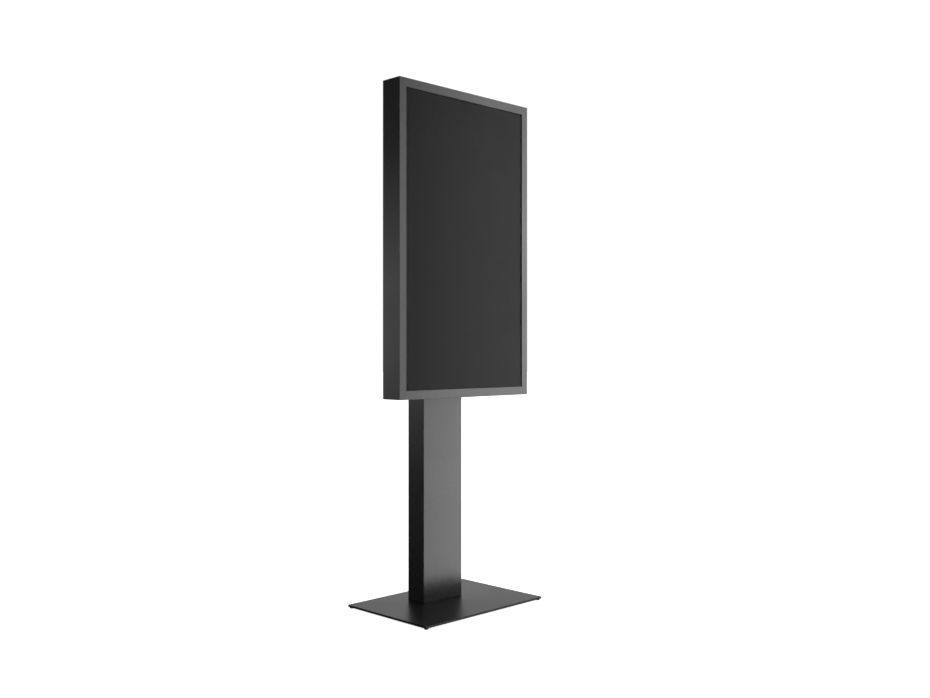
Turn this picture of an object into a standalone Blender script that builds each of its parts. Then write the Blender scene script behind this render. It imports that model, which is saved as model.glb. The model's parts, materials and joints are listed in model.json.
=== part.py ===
"""Free-standing touchscreen kiosk: a portrait 49 inch display head on a steel column over a flat base plate.

Units are metres, +Z is up and the screen faces -Y. The origin is on the floor, under the middle of the base.
Every separate physical piece is one object. A piece that moves hangs from an empty on its joint's axis.
"""

import math

import bmesh
import bpy
from mathutils import Matrix, Vector

MM = 0.001
FIT = 0.3 * MM          # gap left between two fixed pieces that touch on the real object
RUNNING = 0.06 * MM     # radial play of a piece that turns or slides in a hole

# ---------------------------------------------------------------- driving dimensions
HEAD_W = 676 * MM
HEAD_H = 1142 * MM
HEAD_D = 91 * MM
BEZEL = 32.2 * MM       # visible width of the front frame round the screen
SHEET = 2 * MM          # folded steel sheet of the head

BASE_W = 612 * MM
BASE_D = 433 * MM
BASE_T = 8 * MM
BASE_CORNER = 0.5 * MM
FOOT_H = 5 * MM         # clear height under the base plate

COLUMN_W = 200 * MM
COLUMN_D = 88 * MM
COLUMN_SHEET = 2.5 * MM
COLUMN_TOP = 1560 * MM
COLUMN_FRONT = 18.5 * MM    # Y of the column's front face

HEAD_FRONT = -114 * MM      # Y of the head's front face
HEAD_CLEAR = 783 * MM       # from the base plate's top to the head's underside

# ---------------------------------------------------------------- places worked out from them
BASE_TOP = FOOT_H + BASE_T
COLUMN_BACK = COLUMN_FRONT + COLUMN_D
HEAD_BACK = HEAD_FRONT + HEAD_D
HEAD_BOTTOM = BASE_TOP + HEAD_CLEAR
HEAD_TOP = HEAD_BOTTOM + HEAD_H
HEAD_MID = (HEAD_BOTTOM + HEAD_TOP) / 2
HALF_W = HEAD_W / 2

# rear panel of the head
TRAY_FLANGE = 12 * MM
TRAY_GAP = 3 * MM           # swing clearance on the latch side
TRAY_HINGE_GAP = 5 * MM     # room for the door leaf on the hinge side
TRAY_END_GAP = 2 * MM
TRAY_LEFT = -HALF_W + SHEET + TRAY_GAP
TRAY_RIGHT = HALF_W - SHEET - TRAY_HINGE_GAP
TRAY_BOTTOM = HEAD_BOTTOM + SHEET + TRAY_END_GAP
TRAY_TOP = HEAD_TOP - SHEET - TRAY_END_GAP
TRAY_INNER = HEAD_BACK - SHEET      # Y of the panel's inner face
TRAY_SEAT = TRAY_INNER - FIT        # where inside parts sit against the panel

# touch glass and display
GLASS_T = 4 * MM
GLASS_W = 640 * MM
GLASS_H = 1110 * MM
GASKET_T = 1 * MM
GASKET_FRONT = HEAD_FRONT + SHEET + FIT
GLASS_FRONT = GASKET_FRONT + GASKET_T + FIT
GLASS_BACK = GLASS_FRONT + GLASS_T
ACTIVE_W = 604 * MM
ACTIVE_H = 1073.8 * MM
LCD_W = 624 * MM
LCD_H = 1096 * MM
LCD_T = 16 * MM
LCD_FRONT = -103 * MM
CHASSIS_BACK = -58 * MM
PAN_SHEET = 1.2 * MM

# door hinges
HINGE_X = HALF_W - 5.5 * MM
HINGE_Y = HEAD_BACK + 5 * MM
HINGE_R = 4.5 * MM
HINGE_PIN_R = 2 * MM
HINGE_H = 80 * MM
HINGE_Z = {"lower": HEAD_BOTTOM + 150 * MM, "upper": HEAD_TOP - 150 * MM}

# door locks
LOCK_X = -300 * MM
LOCK_Z = {"lower": HEAD_BOTTOM + 250 * MM, "upper": HEAD_TOP - 250 * MM}
LOCK_R = 8.7 * MM
PLUG_R = 5.5 * MM

# column cover and its latches
COVER_T = 2 * MM
COVER_BOTTOM = 110 * MM
LATCH_X = 70 * MM
LATCH_Z = {"lower": COVER_BOTTOM + 80 * MM, "upper": COLUMN_TOP - 80 * MM}
LATCH_R = 6 * MM

# hang-on bracket between the column and the head
BRACKET_T = 3 * MM
BRACKET_REACH = 150 * MM    # each lip stands this far above or below the middle of the head
LIP_H = 15 * MM
LIP_OUT = 18.2 * MM         # from the bracket's plate to the lip
CABLE_HOLE = (90 * MM, 60 * MM)

# fans
FAN_SIDE = 92 * MM
FAN_T = 25 * MM
FAN_X = 150 * MM
FAN_Z = HEAD_TOP - 85 * MM
ROTOR_R = 42 * MM
ROTOR_HUB_R = 18 * MM
SHAFT_R = 1.5 * MM
BLADES = 7

# levelling feet
FOOT_INSET = 10.5 * MM
FOOT_PAD_R = 8 * MM
FOOT_PAD_T = 3 * MM
STUD_R = 3 * MM
FEET = {
    "front_left": (-1, -1),
    "front_right": (1, -1),
    "rear_left": (-1, 1),
    "rear_right": (1, 1),
}

# bolts between the base plate and the column
BOLT_X = 75 * MM
BOLT_Y = (40 * MM, 85 * MM)

# connections at the foot of the column
PANEL_FRONT = COLUMN_BACK - COVER_T
INLET_X = -30 * MM
INLET_Z = 60 * MM
SOCKET_X = 55 * MM
ROCKER_X = INLET_X + 23 * MM
ROCKER_TILT = 8             # degrees that the rocker leans either way from its middle

# electronics on the rear panel
PLAYER_Z = HEAD_MID - 235 * MM
STRIP_Z = HEAD_MID - 420 * MM
BUTTON_R = 4 * MM

ROUND = 24                  # sides of a round piece


# ---------------------------------------------------------------- materials
def make_material(name, colour, roughness, metallic=0.0, alpha=1.0):
    made = bpy.data.materials.new(name)
    made.use_nodes = True
    made.diffuse_color = (*colour, alpha)
    shader = made.node_tree.nodes["Principled BSDF"]
    shader.inputs["Base Color"].default_value = (*colour, 1.0)
    shader.inputs["Roughness"].default_value = roughness
    shader.inputs["Metallic"].default_value = metallic
    shader.inputs["Alpha"].default_value = alpha
    return made


# ---------------------------------------------------------------- mesh helpers
def box(low, high):
    """A bmesh box between two corners."""
    bm = bmesh.new()
    bmesh.ops.create_cube(bm, size=1.0)
    low, high = Vector(low), Vector(high)
    size = high - low
    bmesh.ops.scale(bm, vec=size, verts=bm.verts)
    bmesh.ops.translate(bm, vec=(low + high) / 2, verts=bm.verts)
    return bm


def upright_box(centre, half, start, end):
    """A box about an (X, Z) point, with half sizes across and up, from start to end along Y."""
    (x, z), (across, up) = centre, half
    return box((x - across, start, z - up), (x + across, end, z + up))


def rounded_box(low, high, radius, axis="z", segments=3):
    """A box whose four edges along one axis are rounded."""
    bm = box(low, high)
    index = "xyz".index(axis)
    edges = [e for e in bm.edges if abs((e.verts[0].co - e.verts[1].co).normalized()[index]) > 0.9]
    bmesh.ops.bevel(bm, geom=edges, offset=radius, segments=segments, profile=0.5, affect="EDGES")
    return bm


def prism(outline, axis, start, end):
    """A flat outline pushed along an axis. Outline points are the other two coordinates, in X, Y, Z order."""
    place = {
        "x": lambda a, b, t: (t, a, b),
        "y": lambda a, b, t: (a, t, b),
        "z": lambda a, b, t: (a, b, t),
    }[axis]
    bm = bmesh.new()
    face = bm.faces.new([bm.verts.new(place(a, b, start)) for a, b in outline])
    moved = bmesh.ops.extrude_face_region(bm, geom=[face])["geom"]
    push = Vector(place(0, 0, end - start))
    bmesh.ops.translate(bm, vec=push, verts=[g for g in moved if isinstance(g, bmesh.types.BMVert)])
    bmesh.ops.recalc_face_normals(bm, faces=bm.faces)
    return bm


def turned(profile, centre, axis="z", sides=ROUND):
    """A lathe shape. The profile lists (radius, height) from end to end; a zero radius closes an end."""
    bm = bmesh.new()
    rings = []
    for radius, height in profile:
        if radius == 0:
            rings.append([bm.verts.new((0, 0, height))])
            continue
        turn = [2 * math.pi * (i + 0.5) / sides for i in range(sides)]
        rings.append([bm.verts.new((radius * math.cos(t), radius * math.sin(t), height)) for t in turn])
    for first, second in zip(rings, rings[1:]):
        for i in range(sides):
            j = (i + 1) % sides
            corners = [
                first[i % len(first)], first[j % len(first)],
                second[j % len(second)], second[i % len(second)],
            ]
            bm.faces.new(list(dict.fromkeys(corners)))
    for ring in (rings[0], rings[-1]):
        if len(ring) > 1:
            bm.faces.new(ring)
    bmesh.ops.recalc_face_normals(bm, faces=bm.faces)
    stand = {
        "x": Matrix.Rotation(math.pi / 2, 4, "Y"),
        "y": Matrix.Rotation(-math.pi / 2, 4, "X"),
        "z": Matrix(),
    }
    bm.transform(Matrix.Translation(centre) @ stand[axis])
    return bm


def rod(radius, start, end, centre, axis="z", sides=ROUND):
    """A plain cylinder from start to end along an axis. centre holds the point where that coordinate is 0."""
    return turned([(radius, start), (radius, end)], centre, axis, sides)


def outer_radius(radius, sides=ROUND):
    """Radius of the corners of a polygon whose flats stand at this radius."""
    return radius / math.cos(math.pi / sides)


def helper(bm):
    """A throw-away object that holds a bmesh for a Boolean."""
    mesh = bpy.data.meshes.new("helper")
    bm.to_mesh(mesh)
    bm.free()
    made = bpy.data.objects.new("helper", mesh)
    made.hide_render = True
    made.display_type = "WIRE"
    bpy.context.scene.collection.objects.link(made)
    return made


def combine(body, others, operation):
    """The body with other bmeshes added (UNION) or cut away (DIFFERENCE), as a new bmesh."""
    target = helper(body)
    tools = [helper(bm) for bm in others]
    for tool in tools:
        step = target.modifiers.new(operation, "BOOLEAN")
        step.operation = operation
        step.object = tool
    bpy.context.view_layer.update()
    shape = target.evaluated_get(bpy.context.evaluated_depsgraph_get())
    result = bmesh.new()
    result.from_mesh(shape.to_mesh())
    shape.to_mesh_clear()
    for used in (target, *tools):
        bpy.data.objects.remove(used)
    return result


def fuse(body, *others):
    return combine(body, others, "UNION")


def cut(body, *others):
    return combine(body, others, "DIFFERENCE")


def mirror_x(bm):
    bmesh.ops.scale(bm, vec=(-1, 1, 1), verts=bm.verts)
    bmesh.ops.reverse_faces(bm, faces=bm.faces)
    return bm


def pivot(name, at):
    """An empty on a joint's axis."""
    made = bpy.data.objects.new(name, None)
    made.location = at
    made.empty_display_size = 0.03
    bpy.context.scene.collection.objects.link(made)
    return made


def own_copy(material, name):
    """Each sub-part carries its own copy of its finish, so one can be changed alone."""
    made = material.copy()
    made.name = name
    return made


def piece(name, bm, material, at=(0, 0, 0), parent=None, smooth=False):
    """One named sub-part from a bmesh in world coordinates. Its origin goes to at, or onto its parent."""
    origin = Vector(parent.location) if parent else Vector(at)
    bmesh.ops.translate(bm, vec=-origin, verts=bm.verts)
    mesh = bpy.data.meshes.new(name)
    bm.to_mesh(mesh)
    bm.free()
    mesh.materials.append(own_copy(material, name))
    if smooth:
        mesh.shade_smooth()
        mesh.set_sharp_from_angle(angle=math.radians(35))
    made = bpy.data.objects.new(name, mesh)
    if parent:
        made.parent = parent
    else:
        made.location = origin
    bpy.context.scene.collection.objects.link(made)
    return made


# ---------------------------------------------------------------- base and feet
def base_plate(paint):
    low = (-BASE_W / 2, -BASE_D / 2, FOOT_H)
    high = (BASE_W / 2, BASE_D / 2, BASE_TOP)
    plate = rounded_box(low, high, BASE_CORNER, segments=2)
    holes = []
    for x, y in bolt_places():
        wide, narrow = 11.5 * MM, 5.7 * MM
        sink = [
            (wide, FOOT_H - MM), (wide, FOOT_H),
            (narrow, FOOT_H + wide - narrow), (narrow, BASE_TOP + MM),
        ]
        holes.append(turned(sink, (x, y, 0)))
    for x, y in (foot_place(side) for side in FEET.values()):
        thread = outer_radius(STUD_R + RUNNING)
        holes.append(rod(thread, FOOT_H - MM, BASE_TOP - 1.3 * MM, (x, y, 0)))
    piece("base_plate", cut(plate, *holes), paint, (0, 0, FOOT_H))


def bolt_places():
    return [(x, y) for x in (-BOLT_X, BOLT_X) for y in BOLT_Y]


def foot_place(side):
    return side[0] * (BASE_W / 2 - FOOT_INSET), side[1] * (BASE_D / 2 - FOOT_INSET)


def column_bolts(steel):
    """Countersunk socket bolts up through the base plate into the column's foot plate."""
    head = FOOT_H + 0.4 * MM
    for number, (x, y) in enumerate(bolt_places(), 1):
        top = BASE_TOP + 9 * MM
        profile = [(10 * MM, head), (10 * MM, head + 0.5 * MM), (5 * MM, head + 5.5 * MM), (5 * MM, top)]
        socket = rod(3.4 * MM, head - MM, head + 3.5 * MM, (x, y, 0), sides=6)
        bolt = cut(turned(profile, (x, y, 0)), socket)
        piece(f"column_bolt_{number}", bolt, steel, (x, y, head), smooth=True)


def levelling_feet(rubber, steel):
    """Each foot is a pad that stays still on the floor and a stud that screws through the base plate."""
    for name, side in FEET.items():
        x, y = foot_place(side)
        axis = pivot(f"foot_axis_{name}", (x, y, 0))
        bore = outer_radius(STUD_R + RUNNING)
        rim = FOOT_PAD_R - 0.6 * MM
        profile = [(rim, 0), (FOOT_PAD_R, 0.6 * MM), (FOOT_PAD_R, 2.4 * MM), (rim, FOOT_PAD_T)]
        pad = cut(turned(profile, (x, y, 0)), rod(bore, MM, FOOT_PAD_T + MM, (x, y, 0)))
        piece(f"foot_pad_{name}", pad, rubber, parent=axis, smooth=True)
        tip, top = STUD_R - 0.6 * MM, BASE_TOP - 2 * MM
        profile = [(tip, 1.3 * MM), (STUD_R, 1.9 * MM), (STUD_R, top - 0.6 * MM), (tip, top)]
        stud = turned(profile, (x, y, 0))
        collar = rod(5.5 * MM, FOOT_PAD_T + FIT, FOOT_H - FIT, (x, y, 0), sides=6)
        piece(f"foot_stud_{name}", fuse(stud, collar), steel, parent=axis, smooth=True)


# ---------------------------------------------------------------- column
def column_shell(paint):
    """Folded channel: a front, two sides and two return flanges that the rear cover lies on."""
    half, front, t = COLUMN_W / 2, COLUMN_FRONT, COLUMN_SHEET
    back = COLUMN_BACK - COVER_T - FIT
    lip = half - 16 * MM
    outline = [
        (-half, front), (half, front), (half, back), (lip, back), (lip, back - t),
        (half - t, back - t), (half - t, front + t), (-half + t, front + t), (-half + t, back - t),
        (-lip, back - t), (-lip, back), (-half, back),
    ]
    shell = prism(outline, "z", BASE_TOP + FIT, COLUMN_TOP - 2 * MM)
    piece("column_shell", cut(shell, cable_window(front - MM, front + t + MM)), paint, (0, front, BASE_TOP))


def cable_window(y0, y1):
    """The opening that the mains cable passes through, level with the middle of the head."""
    w, h = CABLE_HOLE
    return rounded_box((-w / 2, y0, HEAD_MID - h / 2), (w / 2, y1, HEAD_MID + h / 2), 8 * MM, "y")


def column_foot(steel):
    """The plate welded inside the column's lower end, with a thread for each bolt."""
    wall = COLUMN_SHEET + FIT
    low = (-COLUMN_W / 2 + wall, COLUMN_FRONT + wall, BASE_TOP + FIT)
    back = COLUMN_BACK - COVER_T - COLUMN_SHEET - 2 * FIT
    high = (COLUMN_W / 2 - wall, back, BASE_TOP + 10 * MM)
    thread = outer_radius(5.3 * MM)
    holes = [rod(thread, BASE_TOP - MM, high[2] + MM, (x, y, 0)) for x, y in bolt_places()]
    piece("column_foot", cut(box(low, high), *holes), steel, (0, (low[1] + high[1]) / 2, low[2]))


def column_cap(plastic):
    """Push-in cap: a lid over the column's end and a skirt inside it."""
    half, t = COLUMN_W / 2, COLUMN_SHEET + FIT
    top = COLUMN_TOP - 2 * MM + FIT
    back = COLUMN_BACK - COVER_T - COLUMN_SHEET - 2 * FIT
    lid = box((-half, COLUMN_FRONT, top), (half, COLUMN_BACK, COLUMN_TOP + 1.5 * MM))
    skirt = box((-half + t, COLUMN_FRONT + t, top - 14 * MM), (half - t, back, top + MM))
    inside = box(
        (-half + 2 * t, COLUMN_FRONT + 2 * t, top - 15 * MM), (half - 2 * t, back - t, top)
    )
    piece("column_cap", fuse(lid, cut(skirt, inside)), plastic, (0, COLUMN_FRONT, top))


def column_cover(paint):
    """Lift-off cable cover on the back of the column, with two stiffening ribs and holes for its latches."""
    half, front, rib = COLUMN_W / 2, COLUMN_BACK - COVER_T, 45 * MM
    top = COLUMN_TOP - 2 * MM
    axis = pivot("cover_axis", (0, COLUMN_BACK, (COVER_BOTTOM + top) / 2))
    sheet = box((-half, front, COVER_BOTTOM), (half, COLUMN_BACK, top))
    ribs = [
        box((x - MM, front - 10 * MM, COVER_BOTTOM + 30 * MM), (x + MM, front + MM, top - 30 * MM))
        for x in (-rib, rib)
    ]
    hole = outer_radius(LATCH_R + RUNNING)
    holes = [rod(hole, front - MM, COLUMN_BACK + MM, (LATCH_X, 0, z), "y") for z in LATCH_Z.values()]
    piece("column_cover", cut(fuse(sheet, *ribs), *holes), paint, parent=axis)


def cover_latches(zinc):
    """Quarter-turn latches. The arm points up when free and turns behind the column's flange."""
    for name, z in LATCH_Z.items():
        axis = pivot(f"cover_latch_axis_{name}", (LATCH_X, COLUMN_BACK, z))
        inner, outer = COLUMN_BACK - 12 * MM, COLUMN_BACK + 2.5 * MM
        face = COLUMN_BACK + FIT
        profile = [
            (LATCH_R, inner), (LATCH_R, face),
            (9 * MM, face), (9 * MM, outer - 0.8 * MM), (8 * MM, outer),
        ]
        plug = turned(profile, (LATCH_X, 0, z), "y")
        slit = upright_box((LATCH_X, z), (0.8 * MM, 5 * MM), outer - 1.2 * MM, outer + MM)
        arm = box(
            (LATCH_X - 5 * MM, inner + 2.5 * MM, z - 5 * MM), (LATCH_X + 5 * MM, inner + 5 * MM, z + 24 * MM)
        )
        piece(f"cover_latch_{name}", cut(fuse(plug, arm), slit), zinc, parent=axis, smooth=True)


# ---------------------------------------------------------------- connections at the foot of the column
def io_panel(paint):
    """Fixed plate under the cover that carries the mains inlet and the network socket."""
    half = COLUMN_W / 2
    plate = box((-half, PANEL_FRONT, BASE_TOP + FIT), (half, COLUMN_BACK, COVER_BOTTOM - FIT))
    start, end = PANEL_FRONT - MM, COLUMN_BACK + MM
    inlet = upright_box((INLET_X, INLET_Z), (36 * MM, 15 * MM), start, end)
    socket = upright_box((SOCKET_X, INLET_Z), (9 * MM, 9 * MM), start, end)
    piece("io_panel", cut(plate, inlet, socket), paint, (0, PANEL_FRONT, BASE_TOP))


def mains_inlet(plastic):
    """Three-pin inlet beside a switch well, in one moulding."""
    x, z = INLET_X, INLET_Z
    face, body = COLUMN_BACK + 2.5 * MM, COLUMN_BACK - 28 * MM
    flange = upright_box((x, z), (40 * MM, 18 * MM), COLUMN_BACK + FIT, face)
    core = upright_box((x, z), (35.5 * MM, 14.5 * MM), body, COLUMN_BACK + MM)
    centre = x - 14 * MM
    mouth = [(-12, -8), (12, -8), (12, 3), (7, 8), (-7, 8), (-12, 3)]
    recess = prism([(centre + a * MM, z + b * MM) for a, b in mouth], "y", face - 17 * MM, face + MM)
    well = upright_box((ROCKER_X, z), (11 * MM, 6.5 * MM), face - 12 * MM, face + MM)
    pins = [
        upright_box((centre + a, z + b), (MM, 2 * MM), face - 18 * MM, face - 4 * MM)
        for a, b in ((-6.5 * MM, -2 * MM), (0, 2.5 * MM), (6.5 * MM, -2 * MM))
    ]
    piece("mains_inlet", fuse(cut(fuse(flange, core), recess, well), *pins), plastic, (x, COLUMN_BACK, z))


def power_rocker(plastic):
    """Rocker switch, its left end pressed in. It pivots about a vertical axis inside its well."""
    at = Vector((ROCKER_X, COLUMN_BACK - 2.5 * MM, INLET_Z))
    axis = pivot("rocker_axis", at)
    outline = [(-8, -5), (8, -5), (10, 6.4), (0, 5), (-10, 6.4)]
    points = [(at.x + a * MM, at.y + b * MM) for a, b in outline]
    rocker = prism(points, "z", at.z - 6 * MM, at.z + 6 * MM)
    tilt = Matrix.Rotation(math.radians(ROCKER_TILT), 4, "Z")
    rocker.transform(Matrix.Translation(at) @ tilt @ Matrix.Translation(-at))
    piece("power_rocker", rocker, plastic, parent=axis)


def network_socket(plastic):
    x, z, face = SOCKET_X, INLET_Z, COLUMN_BACK + 2 * MM
    flange = upright_box((x, z), (12 * MM, 12 * MM), COLUMN_BACK + FIT, face)
    core = upright_box((x, z), (8.5 * MM, 8.5 * MM), COLUMN_BACK - 25 * MM, COLUMN_BACK + MM)
    mouth = [(-6, -4), (-3, -4), (-3, -6), (3, -6), (3, -4), (6, -4), (6, 4), (-6, 4)]
    recess = prism([(x + a * MM, z + b * MM) for a, b in mouth], "y", face - 14 * MM, face + MM)
    piece("network_socket", cut(fuse(flange, core), recess), plastic, (x, COLUMN_BACK, z))


# ---------------------------------------------------------------- hang-on mounting between column and head
def lip_levels():
    return HEAD_MID - BRACKET_REACH, HEAD_MID + BRACKET_REACH


def column_bracket(steel):
    """Plate bolted to the column, with two upturned lips."""
    back = COLUMN_FRONT - FIT
    face, lip, t = back - BRACKET_T, back - BRACKET_T - LIP_OUT, BRACKET_T
    low, high = lip_levels()
    outline = [
        (back, low - 20 * MM), (back, high), (lip + t, high), (lip + t, high + LIP_H), (lip, high + LIP_H),
        (lip, high - t), (face, high - t), (face, low), (lip + t, low), (lip + t, low + LIP_H),
        (lip, low + LIP_H), (lip, low - t), (face, low - t), (face, low - 20 * MM),
    ]
    plate = prism(outline, "x", -90 * MM, 90 * MM)
    piece("column_bracket", cut(plate, cable_window(face - MM, back + MM)), steel, (0, back, HEAD_MID))


def hook_rails(steel):
    """Two rails on the back of the head, whose hooks drop over the bracket's lips."""
    flange_back = HEAD_BACK + FIT + 2.5 * MM
    lip = COLUMN_FRONT - FIT - BRACKET_T - LIP_OUT
    near, far, nose = lip - 0.8 * MM, lip + BRACKET_T + 0.8 * MM, lip + 15 * MM
    low, high = lip_levels()
    foot, head = low - 50 * MM, high + 40 * MM
    start = flange_back - MM
    outline = [
        (start, foot), (start, head), (nose, head), (nose, high + 0.5 * MM), (far, high + 0.5 * MM),
        (far, high + LIP_H + FIT), (near, high + LIP_H + FIT), (near, low + 40 * MM),
        (nose, low + 40 * MM), (nose, low + 0.5 * MM), (far, low + 0.5 * MM),
        (far, low + LIP_H + FIT), (near, low + LIP_H + FIT), (near, foot),
    ]
    for name, x in (("left", -60 * MM), ("right", 60 * MM)):
        web = prism(outline, "x", x - 1.5 * MM, x + 1.5 * MM)
        flange = box((x - 15 * MM, HEAD_BACK + FIT, foot), (x + 15 * MM, flange_back, head))
        piece(f"hook_rail_{name}", fuse(flange, web), steel, (x, HEAD_BACK, HEAD_MID))


# ---------------------------------------------------------------- head: fixed part
def rear_panel(paint):
    """Back of the head: a shallow tray with vents, fan grilles, lock holes and the cable window."""
    y0, y1, t = HEAD_BACK - SHEET - TRAY_FLANGE, HEAD_BACK, SHEET
    tray = box((TRAY_LEFT, y0, TRAY_BOTTOM), (TRAY_RIGHT, y1, TRAY_TOP))
    hollow = box((TRAY_LEFT + t, y0 - MM, TRAY_BOTTOM + t), (TRAY_RIGHT - t, TRAY_INNER, TRAY_TOP - t))
    cuts = [hollow, cable_window(TRAY_INNER - MM, y1 + MM)]
    for z in LOCK_Z.values():
        cuts.append(rod(outer_radius(LOCK_R + FIT), TRAY_INNER - MM, y1 + MM, (LOCK_X, 0, z), "y"))
    cuts += vent_slots() + fan_grilles()
    piece("rear_panel", cut(tray, *cuts), paint, (0, HEAD_BACK, HEAD_MID))


def slot(x, z, length, height=5 * MM):
    """A cutter for one level slot through the rear panel."""
    return box(
        (x - length / 2, TRAY_INNER - MM, z - height / 2), (x + length / 2, HEAD_BACK + MM, z + height / 2)
    )


def vent_slots():
    """Air inlets near the bottom, either side of the column."""
    first, pitch = HEAD_BOTTOM + 60 * MM, 13 * MM
    return [slot(x, first + pitch * i, 130 * MM) for x in (-205 * MM, 205 * MM) for i in range(7)]


def fan_grilles():
    """Slots whose lengths fill a circle in front of each fan."""
    made = []
    for x in (-FAN_X, FAN_X):
        for i in range(-3, 4):
            rise = i * 11 * MM
            made.append(slot(x, FAN_Z + rise, 2 * math.sqrt((41 * MM) ** 2 - rise**2), 6 * MM))
    return made


def hat_rail(name, x, material):
    """Hat section between the rear panel and the display."""
    web, foot = 13 * MM, 26 * MM
    back, front, t = TRAY_SEAT, CHASSIS_BACK + FIT, 2 * MM
    outline = [
        (-foot, back), (-foot, back - t), (-web, back - t), (-web, front),
        (web, front), (web, back - t), (foot, back - t), (foot, back),
        (web - t, back), (web - t, front + t), (-web + t, front + t), (-web + t, back),
    ]
    points = [(x + a, b) for a, b in outline]
    rail = prism(points, "z", HEAD_MID - 280 * MM, HEAD_MID + 280 * MM)
    piece(name, rail, material, (x, back, HEAD_MID))


def display(black, zinc):
    """The LCD module with its thin metal rim, and the sheet-metal pan that covers its electronics."""
    z0, z1 = HEAD_MID - LCD_H / 2, HEAD_MID + LCD_H / 2
    module = box((-LCD_W / 2, LCD_FRONT, z0), (LCD_W / 2, LCD_FRONT + LCD_T, z1))
    window = box(
        (-ACTIVE_W / 2, LCD_FRONT - MM, HEAD_MID - ACTIVE_H / 2),
        (ACTIVE_W / 2, LCD_FRONT + 0.8 * MM, HEAD_MID + ACTIVE_H / 2),
    )
    piece("lcd_panel", cut(module, window), black, (0, LCD_FRONT, HEAD_MID))
    start = LCD_FRONT + LCD_T + FIT
    w, h, t = 280 * MM, 503 * MM, PAN_SHEET
    outside = tapered_block(w, h, start, CHASSIS_BACK)
    inside = tapered_block(w - t, h - t, start - MM, CHASSIS_BACK - t)
    piece("display_chassis", cut(outside, inside), zinc, (0, CHASSIS_BACK, HEAD_MID))


def tapered_block(half_w, half_h, front, back):
    """A block whose back face is a little smaller than its front face."""
    bm = box((-half_w, front, HEAD_MID - half_h), (half_w, back, HEAD_MID + half_h))
    far = [v for v in bm.verts if v.co.y > (front + back) / 2]
    bmesh.ops.scale(bm, vec=(0.9, 1, 0.94), space=Matrix.Translation((0, 0, -HEAD_MID)), verts=far)
    return bm


def media_player(alloy, plastic):
    """Small fanless computer, its cooling fins towards the display and its power button on the top edge."""
    half_w, half_h, depth = 90 * MM, 65 * MM, 27 * MM
    front = TRAY_SEAT - depth
    body = box((-half_w, front, PLAYER_Z - half_h), (half_w, TRAY_SEAT, PLAYER_Z + half_h))
    grooves = [
        box((x, front - MM, PLAYER_Z - half_h - MM), (x + 6 * MM, front + 6 * MM, PLAYER_Z + half_h + MM))
        for x in ((-81 + 12 * i) * MM for i in range(14))
    ]
    x, y, top = -60 * MM, TRAY_SEAT - 11 * MM, PLAYER_Z + half_h
    guide = rod(outer_radius(BUTTON_R + RUNNING, 16), top - 5 * MM, top + MM, (x, y, 0), sides=16)
    piece("media_player", cut(body, *grooves, guide), alloy, (0, TRAY_SEAT, PLAYER_Z))
    axis = pivot("player_button_axis", (x, y, top))
    button = rod(BUTTON_R, top - 3.5 * MM, top + 1.5 * MM, (x, y, 0), sides=16)
    piece("player_button", button, plastic, parent=axis, smooth=True)


def power_strip(plastic):
    """Distribution strip with four outlets."""
    front = TRAY_SEAT - 26 * MM
    low = (-100 * MM, front, STRIP_Z - 22 * MM)
    high = (100 * MM, TRAY_SEAT, STRIP_Z + 22 * MM)
    body = rounded_box(low, high, 4 * MM, "y")
    outlets = [
        upright_box((x, STRIP_Z), (12 * MM, 8 * MM), front - MM, front + 16 * MM)
        for x in ((-66 + 44 * i) * MM for i in range(4))
    ]
    piece("power_strip", cut(body, *outlets), plastic, (0, TRAY_SEAT, STRIP_Z))


def touch_controller(plastic):
    low = (238 * MM, TRAY_SEAT - 14 * MM, PLAYER_Z - 26 * MM)
    high = (314 * MM, TRAY_SEAT, PLAYER_Z + 26 * MM)
    body = rounded_box(low, high, 3 * MM, "y")
    x, y, z = low[0], low[1], PLAYER_Z
    port = box((x - MM, y + 4 * MM, z - 6 * MM), (x + 8 * MM, y + 10 * MM, z + 6 * MM))
    piece("touch_controller", cut(body, port), plastic, (276 * MM, TRAY_SEAT, PLAYER_Z))


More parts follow.
